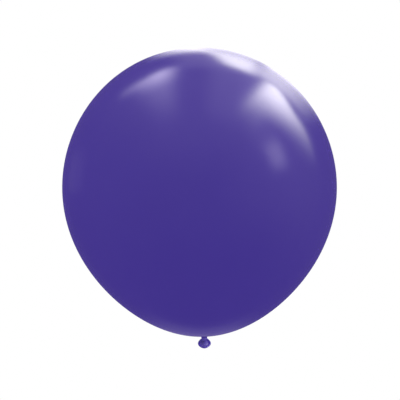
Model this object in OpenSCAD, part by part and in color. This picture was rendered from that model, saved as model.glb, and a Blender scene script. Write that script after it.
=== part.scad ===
// Round latex balloon, inflated and tied. A thin film body narrows into its neck, an
// overhand knot closes the neck, and the free end of the neck hangs from the knot as a
// short stem that flares out to the rolled lip.
// Millimetres. +Z runs up the balloon's axis and -Y is the front. The origin is in the
// groove between the body and the knot, where a ribbon is tied.

/* [Body] */
// Widest diameter of the inflated body
body_d = 600; // [450:10:900]
// Height of the inflated body, pole to pole, as a share of its width
body_aspect = 1.055; // [1:0.005:1.2]
// Film thickness of the inflated body
film = 0.3; // [0.25:0.05:0.6]

/* [Neck] */
// Outer diameter of the gathered neck in the tie groove
neck_d = 12.8; // [12:0.1:13]
// Radius where the body turns into the neck
neck_fillet = 1.6; // [1.4:0.1:1.8]
// Number of pleats that the neck gathers into
pleats = 14; // [10:1:18]

/* [Knot] */
// Outer diameter of the knot
knot_d = 14.2; // [13.6:0.1:14.4]
// Thickness of the strand that wraps round the knot
wrap_d = 4.6; // [4.4:0.1:4.8]

/* [Tail] */
// Outer diameter of the rolled lip
lip_d = 27.4; // [24:0.2:28]
// Thickness of the rolled lip
bead_d = 4.4; // [3:0.1:4.6]
// Film thickness of the flared skirt
skirt_film = 0.5; // [0.35:0.05:0.6]
// Lean of the tail towards the back, from straight down
tail_lean = 50; // [20:1:54]

/* [Hidden] */

// Facets of full turns, large and small
turn_fn = 96;
small_fn = 48;
meridian_steps = 72;
fillet_steps = 6;
skirt_steps = 14;

// Colours of the stretched film and of the thicker, unstretched latex
film_colour = [0.27, 0.22, 0.55];
latex_colour = [0.26, 0.21, 0.52];

// Heights along the axis
body_z = 2.4;          // the body's lower pole
film_end_z = 0.6;      // the stretched film ends here, and the gathered neck starts
knot_top_z = -0.6;     // the gathered neck ends here, on top of the knot
wrap_z = knot_top_z - wrap_d / 2;
sway_z = -5;           // the stem sways about this point, in the underside of the knot
flap_z = -7;           // the skirt flaps about this point, at the stem's lower end

neck_r = neck_d / 2;
strand_r = 3.4;        // the gathered strand inside the knot
ball_r = 2.5;          // round ends of the stem
stem_r = 2.2;
socket_r = ball_r + 0.1;

// The body's meridian. u runs from -1 at the lower pole to 1 at the crown, and the bracket
// draws the lower half in towards the neck, as the film does on a round balloon.
function meridian_r(u, r) =
    r * sqrt(1 - u * u) * (1 + 0.037 * u - 0.053 * u * u + 0.042 * u * u * u);
function meridian(angle, inset) =
    let (u = sin(angle), half_h = body_d * body_aspect / 2)
    [meridian_r(u, body_d / 2 - inset), body_z + half_h + (half_h - inset) * u];

// The meridian from the crown down to where the fillet takes over
last_angle = -88.2;
function body_side(inset) =
    [for (i = [0 : meridian_steps]) meridian(90 + (last_angle - 90) * i / meridian_steps, inset)];

// The fillet from the body's underside in to the neck
function neck_side(inset) =
    [for (i = [0 : fillet_steps])
        let (a = 90 + 90 * i / fillet_steps, r = neck_fillet + inset)
        [neck_r + neck_fillet + r * cos(a), body_z - neck_fillet + r * sin(a)]];

function reversed(points) = [for (i = [len(points) - 1 : -1 : 0]) points[i]];

// The inflated film, open at the neck
module envelope() {
    outer = concat(body_side(0), neck_side(0), [[neck_r, film_end_z]]);
    inner = concat(body_side(film), neck_side(film), [[neck_r - film, film_end_z]]);
    color(film_colour)
        rotate_extrude($fn = turn_fn)
            polygon(concat(outer, reversed(inner)));
}

// The neck, gathered into pleats in the tie groove, with plain bands where it meets the
// film above and the knot below
module neck_gather() {
    height = film_end_z - knot_top_z;
    band = 0.2;
    pleat_r = PI * neck_r / pleats * 0.75;
    color(latex_colour) {
        translate([0, 0, knot_top_z])
            cylinder(r = neck_r - pleat_r, h = height, $fn = turn_fn);
        for (i = [0 : pleats - 1])
            rotate(i * 360 / pleats)
                translate([neck_r - pleat_r, 0, knot_top_z])
                    cylinder(r = pleat_r, h = height, $fn = small_fn);
        for (z = [knot_top_z, film_end_z - band])
            translate([0, 0, z])
                cylinder(r = neck_r, h = band, $fn = turn_fn);
    }
}

// The strand that runs down through the knot, hollowed underneath for the stem's round end
module knot_strand() {
    color(latex_colour)
        difference() {
            translate([0, 0, sway_z])
                cylinder(r = strand_r, h = knot_top_z - sway_z, $fn = turn_fn);
            translate([0, 0, sway_z])
                sphere(r = socket_r, $fn = small_fn);
        }
}

// The loop that wraps round the strand, flattened where the neck presses on it
module knot_wrap() {
    flat = 0.1;
    color(latex_colour)
        rotate_extrude($fn = turn_fn)
            difference() {
                translate([knot_d / 2 - wrap_d / 2, wrap_z + flat])
                    circle(r = wrap_d / 2, $fn = small_fn);
                translate([0, wrap_z - wrap_d])
                    square([strand_r, 2 * wrap_d]);
                translate([0, knot_top_z])
                    square([knot_d, wrap_d]);
            }
}

// The free strand below the knot, round at both ends so that it bends
module tail_stem() {
    color(latex_colour) {
        translate([0, 0, flap_z])
            cylinder(r = stem_r, h = sway_z - flap_z, $fn = small_fn);
        for (z = [sway_z, flap_z])
            translate([0, 0, z])
                sphere(r = ball_r, $fn = small_fn);
    }
}

// Places a piece of the tail, drawn pointing straight down from the point it flaps about
module in_tail() {
    translate([0, 0, flap_z])
        rotate([tail_lean, 0, 0])
            children();
}

lip_r = (lip_d - bead_d) / 2;      // the lip's centre line
lip_depth = 7.5;                   // and its distance from the flap point
collar_r = 3;                      // the skirt's collar, round the stem's end
collar_top = 1.4;
skirt_top = 1.9;
flare = 1.6;                       // how late the skirt flares out

// The skirt's side, from the collar out to the lip, set in by its thickness
function skirt_point(s, inset) =
    let (
        run = lip_r - collar_r,
        drop = lip_depth - skirt_top,
        slope = flare * run * pow(s, flare - 1),
        size = sqrt(slope * slope + drop * drop)
    )
    [collar_r + run * pow(s, flare) - inset * drop / size,
     -skirt_top - drop * s - inset * slope / size];
function skirt_side(inset) = [for (i = [0 : skirt_steps]) skirt_point(i / skirt_steps, inset)];

module skirt_shape() {
    floor_z = -socket_r - 0.6;
    inner = [for (p = skirt_side(skirt_film)) if (p[1] < floor_z) p];
    rotate_extrude($fn = turn_fn)
        polygon(concat(
            [[0, floor_z], [0, -collar_top], [collar_r, -collar_top]],
            skirt_side(0),
            reversed(inner),
            [[inner[0][0], floor_z]]
        ));
}

module bead_shape() {
    translate([0, 0, -lip_depth])
        rotate_extrude($fn = turn_fn)
            translate([lip_r, 0])
                circle(r = bead_d / 2, $fn = small_fn);
}

// The flared end of the neck, with a collar that cups the stem's round end
module tail_skirt() {
    color(latex_colour)
        in_tail()
            difference() {
                skirt_shape();
                sphere(r = socket_r, $fn = small_fn);
                bead_shape();
            }
}

// The mouth of the neck, rolled up on itself into a bead
module rolled_lip() {
    color(latex_colour)
        in_tail()
            bead_shape();
}

envelope();
neck_gather();
knot_strand();
knot_wrap();
tail_stem();
tail_skirt();
rolled_lip();
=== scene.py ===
"""A round latex balloon, inflated and tied: the film, its gathered neck, the overhand knot, and the
flared tail with its rolled lip, in soft studio light. Metres, +Z up, -Y is the front."""

import math

import bmesh
import bpy
import numpy as np
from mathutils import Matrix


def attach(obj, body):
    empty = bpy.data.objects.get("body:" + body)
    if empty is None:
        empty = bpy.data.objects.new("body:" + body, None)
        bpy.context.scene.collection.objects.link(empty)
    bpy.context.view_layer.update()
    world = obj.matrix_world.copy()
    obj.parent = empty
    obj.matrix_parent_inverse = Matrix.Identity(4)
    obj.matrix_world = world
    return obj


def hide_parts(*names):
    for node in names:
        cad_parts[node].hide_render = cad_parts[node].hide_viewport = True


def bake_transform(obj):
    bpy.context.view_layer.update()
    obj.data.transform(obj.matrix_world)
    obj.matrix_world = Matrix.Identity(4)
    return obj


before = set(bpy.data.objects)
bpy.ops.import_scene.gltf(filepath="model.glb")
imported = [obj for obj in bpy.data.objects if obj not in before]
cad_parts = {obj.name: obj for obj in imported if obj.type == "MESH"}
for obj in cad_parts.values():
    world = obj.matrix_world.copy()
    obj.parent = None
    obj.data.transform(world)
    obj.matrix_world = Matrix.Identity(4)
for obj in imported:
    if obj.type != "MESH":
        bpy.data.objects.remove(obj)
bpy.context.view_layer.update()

MM = 0.001
TAU = 2 * math.pi

# Sizes shared with the CAD part, in mm. The shapes below are drawn in mm and scaled when they become meshes
BODY_R = 300.0
HALF_H = 316.5
BODY_Z = 2.4  # the body's lower pole
CENTRE_Z = BODY_Z + HALF_H
NECK_R = 6.4
FILLET = 1.6
SWAY_Z = -5.0  # the knot's underside, where the tail starts
LEAN = math.radians(50)  # of the tail, towards the back
LIP_R = 11.5
BEAD_R = 2.2

RIGHT = np.array([1.0, 0, 0])


# ---------------------------------------------------------------- mesh helpers


def turn(count):
    """Evenly spaced angles of one full turn."""
    return np.arange(count) * TAU / count


def grid_faces(rings, around, wrap_rings=False):
    """Quads of a grid of rings, each with the same number of points, closed round the ring."""
    faces = []
    last = rings if wrap_rings else rings - 1
    for i in range(last):
        a, b = i * around, ((i + 1) % rings) * around
        for j in range(around):
            k = (j + 1) % around
            faces.append((a + j, a + k, b + k, b + j))
    return faces


def end_cap(ring, around, flip=False):
    """One face that closes the tube at a ring."""
    face = tuple(range(ring * around, (ring + 1) * around))
    return face[::-1] if flip else face


def fan(tip, base, around):
    """Triangles from the ring that starts at the point base to a single point."""
    return [(tip, base + j, base + (j + 1) % around) for j in range(around)]


def make_object(name, points, faces):
    """A smooth mesh object, with its normals facing outwards."""
    mesh = bpy.data.meshes.new(name)
    mesh.from_pydata([tuple(p) for p in points], [], faces)
    mesh.validate()
    bm = bmesh.new()
    bm.from_mesh(mesh)
    bmesh.ops.recalc_face_normals(bm, faces=bm.faces)
    bm.to_mesh(mesh)
    bm.free()
    mesh.polygons.foreach_set("use_smooth", [True] * len(mesh.polygons))
    obj = bpy.data.objects.new(name, mesh)
    bpy.context.scene.collection.objects.link(obj)
    return obj


def apply_modifiers(obj):
    """Replace the object's mesh by the one its modifiers make."""
    dg = bpy.context.evaluated_depsgraph_get()
    mesh = bpy.data.meshes.new_from_object(obj.evaluated_get(dg))
    obj.modifiers.clear()
    old, obj.data = obj.data, mesh
    bpy.data.meshes.remove(old)
    mesh.polygons.foreach_set("use_smooth", [True] * len(mesh.polygons))
    return obj


def smoothstep(x, a, b):
    """0 up to a and 1 from b on, smoothly in between."""
    t = np.clip((x - a) / (b - a), 0, 1)
    return t * t * (3 - 2 * t)


def pleat(theta, count, seed=0.0, sharp=0.7):
    """0 on the ridges and 1 in the valleys of unevenly spaced pleats."""
    t = theta + 0.16 * np.sin(2 * theta + seed) + 0.09 * np.sin(3 * theta + 2.1 * seed + 1)
    ridge = np.abs(np.sin(count * t / 2)) ** sharp
    uneven = 0.8 + 0.2 * np.sin(3 * theta + seed + 0.5) * np.cos(2 * theta + 1.3 * seed)
    return (1 - ridge) * uneven


# ---------------------------------------------------------------- the inflated film

AROUND = 288
PLEATS = 14
SWEEP = 178.2  # degrees from the crown down to where the fillet takes over


def meridian(u):
    """The body's radius at the height u, from -1 at the lower pole to 1 at the crown."""
    return BODY_R * np.sqrt(1 - u * u) * (1 + 0.037 * u - 0.053 * u**2 + 0.042 * u**3)


def build_film():
    """The outer side of the film: the body, drawn into fine pleats where it runs into the neck."""
    # Angles from the crown down, closer together at the neck
    s = np.linspace(0, 1, 230)
    angle = np.radians(90 - SWEEP * (1 - (1 - s) ** 1.9) ** (1 / 1.25))
    angle[0] = np.radians(89.9)  # just off the crown, which is a point of its own
    u = np.sin(angle)
    r, z = meridian(u), CENTRE_Z + HALF_H * u
    a = np.radians(np.linspace(90, 180, 12))
    fr = NECK_R + FILLET + FILLET * np.cos(a)
    fz = BODY_Z - FILLET + FILLET * np.sin(a)
    keep = r > fr[0] + 0.4
    # Below the tie groove the neck rounds in under the knot's top
    round_in = [0, 0, 0, 0.3, 1.1, 2.8]
    r = np.concatenate([r[keep], fr, [NECK_R - inset for inset in round_in]])
    z = np.concatenate([z[keep], fz, [0.4, -0.2, -0.8, -1.3, -1.8, -2.1]])
    # Normals of the meridian, in (r, z)
    dr, dz = np.gradient(r), np.gradient(z)
    size = np.hypot(dr, dz)
    nr, nz = -dz / size, dr / size
    # Outwards is away from the axis, or away from the centre's height where the film lies nearly level
    flip = np.where(nr + (z - CENTRE_Z) * nz * 0.001 < 0, -1, 1)
    nr, nz = nr * flip, nz * flip
    theta = turn(AROUND)
    points = []
    for i in range(len(r)):
        # The pleats are deep at the neck, and their shallow ends run out over the underside
        depth = 0.0
        if z[i] < 40:
            depth += 1.1 * float(1 - smoothstep(r[i], NECK_R, 17))
            depth += 0.22 * float(1 - smoothstep(r[i], 10, 46))
        d = -depth * pleat(theta, PLEATS, 0.6)
        # A blown film is never quite round: a slow swell of a fraction of a millimetre
        swell = 0.35 * np.sin(2 * theta + 0.8) * math.sin(math.pi * min(1, r[i] / BODY_R) / 2)
        rr = r[i] + d * nr[i] + swell
        zz = z[i] + d * nz[i]
        points.append(np.stack([rr * np.cos(theta), rr * np.sin(theta), zz], 1))
    points = np.concatenate(points)
    faces = grid_faces(len(r), AROUND)
    crown = len(points)
    points = np.vstack([points, [[0, 0, CENTRE_Z + HALF_H]], [[0, 0, z[-1]]]])
    faces += [(crown, (j + 1) % AROUND, j) for j in range(AROUND)]
    faces += fan(crown + 1, (len(r) - 1) * AROUND, AROUND)
    return make_object("film", points * MM, faces)


# ---------------------------------------------------------------- the knot


def tube(path, radius, ridges, seed, around=64):
    """A closed tube along a path of points, ridged like gathered film."""
    path = np.array(path, float)
    n = len(path)
    tangent = np.gradient(path, axis=0)
    tangent /= np.linalg.norm(tangent, axis=1)[:, None]
    side = np.cross(tangent[0], [0.3, 0.9, 0.2])
    side /= np.linalg.norm(side)
    phi = turn(around)
    points = []
    for i in range(n):
        side = side - tangent[i] * (side @ tangent[i])
        side /= np.linalg.norm(side)
        up = np.cross(tangent[i], side)
        rad = radius[i] * (1 - 0.16 * pleat(phi + 0.5 * i / n, ridges, seed))
        points.append(path[i] + np.outer(rad * np.cos(phi), side) + np.outer(rad * np.sin(phi), up))
    faces = grid_faces(n, around)
    faces += [end_cap(0, around, flip=True), end_cap(n - 1, around)]
    return np.concatenate(points), faces


def spline(knots, steps):
    """Catmull-Rom curve through given points."""
    k = np.array(knots, float)
    k = np.vstack([2 * k[0] - k[1], k, 2 * k[-1] - k[-2]])
    out = []
    for i in range(1, len(k) - 2):
        for t in np.linspace(0, 1, steps, endpoint=False):
            a, b, c, d = k[i - 1], k[i], k[i + 1], k[i + 2]
            square = (2 * a - 5 * b + 4 * c - d) * t * t
            cube = (3 * b - a - 3 * c + d) * t**3
            out.append(0.5 * (2 * b + (c - a) * t + square + cube))
    out.append(k[-2])
    return np.array(out)


WRAP_STEPS = 14
WRAP_R = 4.9  # of the wrap's middle line
WRAP_END_R = 3.2  # and where the strand enters and leaves it


def build_knot():
    """The overhand knot: the strand drops in from the neck, turns round itself and leaves underneath."""
    wrap = []
    for i in range(WRAP_STEPS + 1):
        a = math.radians(200 + 30 * i)
        z = -1.8 - 2.0 * i / WRAP_STEPS
        rad = WRAP_R if 0 < i < WRAP_STEPS else WRAP_END_R
        wrap.append((rad * math.cos(a), rad * math.sin(a), z + 0.45 * math.sin(a + 0.6)))
    way_in = [(0, 0, 0.2), (-1.0, -0.3, -0.6)]
    way_out = [(0.6, 0.2, -3.7), (0, 0, -4.6), (0, 0, -5.4)]
    path = spline(way_in + wrap + way_out, 8)
    n = len(path)
    t = np.linspace(0, 1, n)
    radius = 2.15 + 0.25 * np.sin(math.pi * t) + 0.16 * np.sin(9 * t + 1)
    points, faces = tube(path, radius, 7, 1.7)
    core = spline([(0, 0, -0.2), (0.2, 0.1, -2.5), (0, 0, -5.2)], 12)
    core_points, core_faces = tube(core, np.full(len(core), 3.5), 9, 0.4)
    faces = faces + [tuple(v + len(points) for v in face) for face in core_faces]
    obj = make_object("knot", np.vstack([points, core_points]) * MM, faces)
    # One skin over both tubes
    remesh = obj.modifiers.new("skin", "REMESH")
    remesh.mode = "VOXEL"
    remesh.voxel_size = 0.16 * MM
    smooth = obj.modifiers.new("soften", "SMOOTH")
    smooth.factor, smooth.iterations = 0.5, 3
    return apply_modifiers(obj)


# ---------------------------------------------------------------- the tail


TAIL_LEN = 9.2  # from the knot's underside to the lip's plane, along the middle line
SKIRT_TOP = 1.2  # and to the skirt's top
SKIRT_TOP_R = 2.9


def lean_at(d):
    """The tail leaves the knot straight down and curls over backwards within a few millimetres."""
    return LEAN * smoothstep(d, 0.4, 4.6)


def tail_axis(d):
    """A point on the tail's middle line, its direction and its front, at distance d from where it starts."""
    steps = np.linspace(0, d, 60)
    lean = lean_at(steps)
    dy, dz = np.sin(lean), -np.cos(lean)
    y = float(np.sum((dy[1:] + dy[:-1]) / 2 * np.diff(steps))) if d > 0 else 0.0
    z = float(np.sum((dz[1:] + dz[:-1]) / 2 * np.diff(steps))) if d > 0 else 0.0
    a = float(lean_at(np.array(d)))
    direction = np.array([0, math.sin(a), -math.cos(a)])
    front = np.array([0, -math.cos(a), -math.sin(a)])
    return np.array([0, y, SWAY_Z + z]), direction, front


def tail_pleats(theta):
    """The pleats that the stem and the skirt share."""
    return pleat(theta, 11, 2.3, 0.8)


def lip_wave(theta):
    """How far the mouth's edge dips along the tail's axis, and its radius: soft, uneven corners."""
    dip = 0.3 * np.cos(2 * theta) + 0.2 * np.sin(3 * theta + 0.7)
    radius = LIP_R * (1 + 0.012 * np.sin(theta) - 0.01 * np.cos(2 * theta) + 0.01 * np.sin(3 * theta))
    radius = radius + LIP_R * 0.035 * np.cos(4 * theta)
    return dip, radius


def skirt_ring(s, inset, theta):
    """One ring of the skirt, set in by inset: s runs from 0 at the stem to 1 at the lip."""
    centre, direction, front = tail_axis(SKIRT_TOP + (TAIL_LEN - SKIRT_TOP) * s)
    dip, lip = lip_wave(theta)
    base = SKIRT_TOP_R + (lip - SKIRT_TOP_R) * s**1.75
    fold = (0.75 * (1 - s) + 1.5 * s * (1 - s) * 1.6 + 0.12) * tail_pleats(theta)
    radius = np.maximum(base - fold * (1 - 0.75 * s**3) - inset, 0.15)
    along = dip * s**2
    return (
        centre
        + np.outer(radius * np.cos(theta), RIGHT)
        + np.outer(radius * np.sin(theta), front)
        + np.outer(along, direction)
    )


def build_skirt():
    """The flared neck: down its outside to the lip and back up its inside, which closes at a point."""
    around = 220
    theta = turn(around)
    rings = [skirt_ring(s, 0, theta) for s in np.linspace(0, 1, 44)]
    rings += [skirt_ring(s, 0.5, theta) for s in np.linspace(0.985, 0.2, 36)]
    points = np.concatenate(rings)
    faces = grid_faces(len(rings), around) + [end_cap(0, around, flip=True)]
    throat = tail_axis(SKIRT_TOP + (TAIL_LEN - SKIRT_TOP) * 0.12)[0]
    faces += fan(len(points), (len(rings) - 1) * around, around)
    return make_object("skirt", np.vstack([points, [throat]]) * MM, faces)


def build_stem():
    """The strand from inside the knot down into the skirt, where its narrowing end stays hidden."""
    around, low_end = 120, 2.0
    theta = turn(around)
    rings = []
    for d in np.linspace(-0.6, low_end, 20):
        centre, _, front = tail_axis(max(d, 0.0))
        centre = centre + np.array([0, 0, -min(d, 0)])
        rad = 3.0 + 0.25 * ((d - 1.0) / 1.6) ** 2 - 0.75 * tail_pleats(theta)
        rad = rad * (1 - 0.2 * float(smoothstep(d, 0.9, low_end)))
        rings.append(centre + np.outer(rad * np.cos(theta), RIGHT) + np.outer(rad * np.sin(theta), front))
    faces = grid_faces(len(rings), around)
    faces += [end_cap(0, around, flip=True), end_cap(len(rings) - 1, around)]
    return make_object("stem", np.concatenate(rings) * MM, faces)


def build_lip():
    """The mouth's edge, rolled on itself: a bead with the fold line where the roll meets the skirt."""
    theta, phi = turn(240), turn(48)
    centre, direction, front = tail_axis(TAIL_LEN)
    fold_line = np.exp(-(((phi - math.radians(214)) / 0.2) ** 2))
    points = []
    for t, dip, radius in zip(theta, *lip_wave(theta)):
        out = math.cos(t) * RIGHT + math.sin(t) * front
        middle = centre + out * radius + direction * dip
        bead = BEAD_R * (1.06 + 0.035 * math.sin(2 * t + 1.1) + 0.02 * math.sin(5 * t))
        rad = bead * (1 - 0.13 * fold_line)
        points.append(middle + np.outer(rad * np.cos(phi), out) + np.outer(rad * np.sin(phi), direction))
    points = np.concatenate(points)
    faces = grid_faces(len(theta), len(phi), wrap_rings=True)
    return make_object("lip", points * MM, faces)


# ---------------------------------------------------------------- latex


def mix_colour(tree, factor, a, b):
    """A colour mixed from a to b. Each is a socket or a constant colour."""
    node = tree.nodes.new("ShaderNodeMix")
    node.data_type = "RGBA"
    tree.links.new(factor, node.inputs["Factor"])
    for name, value in (("A", a), ("B", b)):
        if isinstance(value, tuple):
            node.inputs[name].default_value = (*value, 1)
        else:
            tree.links.new(value, node.inputs[name])
    return node.outputs["Result"]


def latex(name, deep, light, rough, coat, bump, thick=0.0):
    """Glossy latex. deep and light are the two close tones the film varies between, and thick is how far
    it deepens where the film is thicker, at the crown and where it runs into the neck."""
    mat = bpy.data.materials.new(name)
    mat.use_nodes = True
    tree = mat.node_tree
    nodes, links = tree.nodes, tree.links
    shader = nodes["Principled BSDF"]
    where = nodes.new("ShaderNodeTexCoord")

    def noise(scale, detail, roughness=0.5):
        n = nodes.new("ShaderNodeTexNoise")
        n.inputs["Scale"].default_value = scale
        n.inputs["Detail"].default_value = detail
        n.inputs["Roughness"].default_value = roughness
        links.new(where.outputs["Object"], n.inputs["Vector"])
        return n

    cloud = noise(7, 3)
    colour = mix_colour(tree, cloud.outputs["Fac"], deep, light)
    if thick:
        split = nodes.new("ShaderNodeSeparateXYZ")
        links.new(where.outputs["Object"], split.inputs["Vector"])
        ramp = nodes.new("ShaderNodeValToRGB")
        height = nodes.new("ShaderNodeMapRange")
        height.inputs["From Min"].default_value = -0.001
        height.inputs["From Max"].default_value = 0.6355
        links.new(split.outputs["Z"], height.inputs["Value"])
        links.new(height.outputs["Result"], ramp.inputs["Fac"])
        # Shares of thick at heights from the neck, 0, to the crown, 1. A new ramp has its two ends already
        stops = ramp.color_ramp.elements
        for height_up in (0.003, 0.012, 0.996, 0.9992):
            stops.new(height_up)
        for stop, share in zip(stops, (0.5, 0.3, 0.0, 0.0, 0.7, 1.0)):
            stop.color = (share * thick, share * thick, share * thick, 1)
        thickest = (deep[0] * 0.6, deep[1] * 0.55, deep[2] * 0.72)
        colour = mix_colour(tree, ramp.outputs["Color"], colour, thickest)
    links.new(colour, shader.inputs["Base Color"])

    smear = noise(22, 4, 0.6)
    polish = nodes.new("ShaderNodeMapRange")
    polish.inputs["To Min"].default_value = rough * 0.85
    polish.inputs["To Max"].default_value = rough * 1.2
    links.new(smear.outputs["Fac"], polish.inputs["Value"])
    links.new(polish.outputs["Result"], shader.inputs["Roughness"])

    fine = noise(900, 2)
    broad = noise(38, 2)
    both = nodes.new("ShaderNodeMath")
    both.operation = "MULTIPLY_ADD"
    both.inputs[1].default_value = 0.08
    links.new(fine.outputs["Fac"], both.inputs[0])
    links.new(broad.outputs["Fac"], both.inputs[2])
    skin = nodes.new("ShaderNodeBump")
    skin.inputs["Strength"].default_value = bump
    skin.inputs["Distance"].default_value = 0.0004
    links.new(both.outputs["Value"], skin.inputs["Height"])
    links.new(skin.outputs["Normal"], shader.inputs["Normal"])

    constants = {
        "IOR": 1.52,
        "Coat Weight": coat,
        "Coat Roughness": 0.06,
        "Subsurface Weight": 0.08,
        "Subsurface Radius": (0.6, 0.4, 1.0),
        "Subsurface Scale": 0.002,
    }
    for socket, value in constants.items():
        shader.inputs[socket].default_value = value
    return mat


film_latex = latex(
    "film latex", (0.0505, 0.0280, 0.274), (0.0545, 0.0310, 0.288), rough=0.2, coat=0.15, bump=0.12, thick=0.5
)
neck_latex = latex(
    "neck latex", (0.050, 0.029, 0.255), (0.058, 0.034, 0.285), rough=0.46, coat=0.06, bump=0.3
)
lip_latex = latex("lip latex", (0.050, 0.028, 0.27), (0.056, 0.032, 0.30), rough=0.14, coat=1.0, bump=0.12)

film = build_film()
film.data.materials.append(film_latex)
# Light comes through the thin film and reaches the tail
film.visible_diffuse = film.visible_shadow = False
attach(film, "balloon")
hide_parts("envelope", "neck_gather")

knot = build_knot()
knot.data.materials.append(neck_latex)
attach(knot, "balloon")
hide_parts("knot_strand", "knot_wrap")

stem = build_stem()
stem.data.materials.append(neck_latex)
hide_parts("tail_stem")
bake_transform(stem)

skirt = build_skirt()
skirt.data.materials.append(neck_latex)
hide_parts("tail_skirt")
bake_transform(skirt)

lip = build_lip()
lip.data.materials.append(lip_latex)
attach(lip, "tail")
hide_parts("rolled_lip")

# The pieces that the tail's own light shines on. They are left out of all reflections
tail_pieces = bpy.data.collections.new("lit by the tail's own light")
for piece in (knot, stem, skirt, lip):
    piece.visible_glossy = False
    tail_pieces.objects.link(piece)


# ---------------------------------------------------------------- studio

FLOOR_Z = -0.45
FLOOR_R = 2.9
FLOOR_WHITE = (0.93, 0.93, 0.93, 1)


def build_floor():
    """A pale disc well below the balloon, which floats over it. Seen from underneath it isn't there."""
    bm = bmesh.new()
    bmesh.ops.create_circle(bm, cap_ends=True, segments=128, radius=FLOOR_R)
    mesh = bpy.data.meshes.new("floor")
    bm.to_mesh(mesh)
    bm.free()
    obj = bpy.data.objects.new("floor", mesh)
    obj.location.z = FLOOR_Z
    bpy.context.scene.collection.objects.link(obj)
    mat = bpy.data.materials.new("pale floor")
    mat.use_nodes = True
    nodes, links = mat.node_tree.nodes, mat.node_tree.links
    shader = nodes["Principled BSDF"]
    shader.inputs["Base Color"].default_value = FLOOR_WHITE
    shader.inputs["Roughness"].default_value = 0.9
    side = nodes.new("ShaderNodeNewGeometry")
    clear = nodes.new("ShaderNodeBsdfTransparent")
    either = nodes.new("ShaderNodeMixShader")
    links.new(side.outputs["Backfacing"], either.inputs[0])
    links.new(shader.outputs[0], either.inputs[1])
    links.new(clear.outputs[0], either.inputs[2])
    links.new(either.outputs[0], nodes["Material Output"].inputs["Surface"])
    mesh.materials.append(mat)
    return obj


floor = build_floor()
floor.visible_glossy = floor.visible_diffuse = False


class Signal:
    """A number carried by the world's nodes. Its sums, products and edges add the nodes they need."""

    def __init__(self, socket):
        self.socket = socket

    @staticmethod
    def math(operation, *values):
        node = world.node_tree.nodes.new("ShaderNodeMath")
        node.operation = operation
        for slot, value in zip(node.inputs, values):
            if isinstance(value, Signal):
                world.node_tree.links.new(value.socket, slot)
            else:
                slot.default_value = value
        return Signal(node.outputs[0])

    def __add__(self, other):
        return Signal.math("ADD", self, other)

    def __sub__(self, other):
        return Signal.math("SUBTRACT", self, other)

    def __mul__(self, other):
        return Signal.math("MULTIPLY", self, other)

    def ramp(self, low, high, soft):
        """1 between low and high, falling smoothly to 0 over the width soft, centred on each edge."""
        return self.rise(low - soft / 2, low + soft / 2) * self.rise(high + soft / 2, high - soft / 2)

    def rise(self, zero, one):
        """0 at zero and 1 at one, smoothly in between."""
        node = world.node_tree.nodes.new("ShaderNodeMapRange")
        node.interpolation_type = "SMOOTHSTEP"
        a, b, low, high = (zero, one, 0, 1) if zero < one else (one, zero, 1, 0)
        for name, value in (("From Min", a), ("From Max", b), ("To Min", low), ("To Max", high)):
            node.inputs[name].default_value = value
        world.node_tree.links.new(self.socket, node.inputs["Value"])
        return Signal(node.outputs["Result"])


def background(colour, strength):
    """A background shader, lit evenly or by a signal."""
    node = world.node_tree.nodes.new("ShaderNodeBackground")
    node.inputs["Color"].default_value = (*colour, 1)
    if isinstance(strength, Signal):
        world.node_tree.links.new(strength.socket, node.inputs["Strength"])
    else:
        node.inputs["Strength"].default_value = strength
    return node.outputs[0]


def combine(kind, *inputs):
    """Join shaders with an Add or Mix shader node."""
    node = world.node_tree.nodes.new(kind)
    for slot, value in zip(node.inputs, inputs):
        world.node_tree.links.new(value, slot)
    return node.outputs[0]


world = bpy.data.worlds.new("studio")
bpy.context.scene.world = world
world.use_nodes = True
world.node_tree.nodes.clear()
world.cycles.sampling_method = "NONE"

# Directions into the studio, in degrees: over is the angle round the camera's axis, from 0 at the right
# through 90 overhead to 180 at the left, and back is the angle from the plane of the balloon towards the
# wall behind it
coord = world.node_tree.nodes.new("ShaderNodeTexCoord")
split = world.node_tree.nodes.new("ShaderNodeSeparateXYZ")
world.node_tree.links.new(coord.outputs["Generated"], split.inputs["Vector"])
X, Y, Z = (Signal(split.outputs[name]) for name in "XYZ")
DEGREE = 180 / math.pi
ROLL = 1.786  # the camera's, in degrees: the windows hang square to its frame
over = Signal.math("ARCTAN2", Z, X) * DEGREE + ROLL
back = Signal.math("ARCSINE", Y) * DEGREE

# Soft windows of light, seen only in the gloss. Each is a product of its soft edges and its strength, and
# a slanting edge is a sum of over and back. The key window narrows downwards, and its far corner reaches
# back into a long dimmer tail
near_edge = back + over * 0.4 - over.rise(46, 24) * 5
far_edge = back - over.rise(36, 52) * 8
side_edge = over + back * 0.1
key_shape = near_edge.rise(5.5, 41.5) * far_edge.rise(31, 22)
key = key_shape * over.rise(8, 50) * side_edge.rise(63.1, 55.6) * 9.2
key_toe = over.ramp(46, 62, 8) * back.ramp(-19, 2, 16) * 1.1
tail_fall = back.rise(66, 36) * 1.6 + 1.7
key_tail = over.rise(27, 53) * over.rise(65, 58) * back.rise(30, 42) * tail_fall

# Beside it, overhead, a smaller window, and beyond that one the light on the crown
patch_edge = over - back * 0.35
patch_fall = back.rise(68, 34) * 4.4 + 1.4
patch = over.rise(59, 68) * patch_edge.rise(71, 61) * back.rise(27, 37) * patch_fall
crown = patch_edge.rise(61, 70) * over.rise(114, 88) * back.rise(48, 64) * 2.3

# The window at the upper left, with a faint wing
left_fall = back.rise(2, 24) * 3.3 + back.rise(-40, 5) * 1.3
left_edge = over + back * 0.05
left_far = back + over.rise(104, 124) * 3.5
left = left_edge.rise(99, 110.5) * over.rise(130, 110) * left_far.rise(33, 23) * left_fall
left_wing = over.ramp(119, 131, 6) * back.ramp(20, 29, 6) * 0.9

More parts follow.
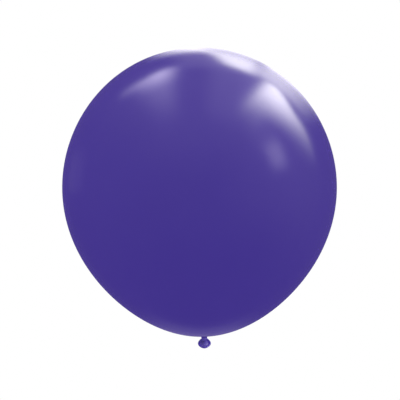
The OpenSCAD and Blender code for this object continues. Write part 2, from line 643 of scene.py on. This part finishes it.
# A lamp low at the right, and faint glows from the ceiling, the far wall, the left side and below
lamp = over.ramp(14, 31, 12) * back.ramp(-25, -10, 11) * 1.85
lamp_halo = over.ramp(26, 54, 14) * back.ramp(-30, -8, 14) * 0.3
ceiling = over.ramp(58, 84, 12) * back.ramp(-30, 38, 24) * 0.4
haze = over.ramp(82, 100, 12) * back.ramp(23, 54, 10) * 0.36
haze = haze + over.ramp(84, 108, 16) * back.rise(48, 60) * 0.14
side_glow = over.ramp(164, 196, 12) * back.ramp(24, 50, 12) * 0.09
low_glow = over.ramp(-112, -68, 24) * back.rise(32, 50) * 0.145

windows = key + key_toe + key_tail + patch + crown
glows = left + left_wing + lamp + lamp_halo + ceiling + haze + side_glow + low_glow

# The room round them: dim below and behind, paler above, a little brighter to the front right
room = Z.rise(-1.0, 0.2) * 0.12 + Z.rise(0.0, 1.0) * X.rise(-1.2, -0.4) * 0.40
room = room + X.rise(0.1, 1.0) * Z.rise(-1.0, 0.1) * 0.24
room = room * (Y.rise(0.85, -0.15) * 0.8 + 0.2)

# Gloss sees the windows, diffuse surfaces get a nearly even light, and the camera sees plain white
mirror = background((0.08, 0.055, 0.27), 1.0)
for colour, strength in (((1, 0.985, 0.92), windows), ((1.06, 0.97, 1.2), glows), ((1, 0.85, 1), room)):
    mirror = combine("ShaderNodeAddShader", mirror, background(colour, strength))
ambient = background((1, 1, 1), Z.rise(-1.0, 1.0) * 0.16 + 0.9)
path = world.node_tree.nodes.new("ShaderNodeLightPath")
lit = combine("ShaderNodeMixShader", path.outputs["Is Diffuse Ray"], mirror, ambient)
seen = combine("ShaderNodeMixShader", path.outputs["Is Camera Ray"], lit, background((1, 1, 1), 1.0))
out = world.node_tree.nodes.new("ShaderNodeOutputWorld")
world.node_tree.links.new(seen, out.inputs["Surface"])

# A light of its own for the tail, which hangs in the body's shade. It stands at the front right and faces
# the origin, in the tie groove
tail_light_data = bpy.data.lights.new("tail light", "AREA")
tail_light_data.shape = "DISK"
tail_light_data.size = 0.6
tail_light_data.energy = 7
tail_light = bpy.data.objects.new("tail light", tail_light_data)
tail_light.location = (0.88, -0.6, 0.36)
tail_light.rotation_mode = "QUATERNION"
tail_light.rotation_quaternion = tail_light.location.to_track_quat("Z", "Y")
tail_light.light_linking.receiver_collection = tail_pieces
tail_light.visible_camera = False
bpy.context.scene.collection.objects.link(tail_light)

bpy.context.scene.view_settings.view_transform = "Standard"
bpy.context.scene.view_settings.look = "None"

CAMERA_DISTANCE = 4.868  # from the balloon's axis
CAMERA_RIGHT = 0.00015  # of the axis
CAMERA_DROP = 0.01697  # below the body's middle

cam_data = bpy.data.cameras.new("camera")
cam_data.lens = 200
cam_data.sensor_width = 36
cam = bpy.data.objects.new("camera", cam_data)
cam.location = (CAMERA_RIGHT, -CAMERA_DISTANCE, CENTRE_Z * MM - CAMERA_DROP)
cam.rotation_mode = "XYZ"
cam.rotation_euler = (math.pi / 2, math.radians(ROLL), 0)
bpy.context.scene.collection.objects.link(cam)
bpy.context.scene.camera = cam
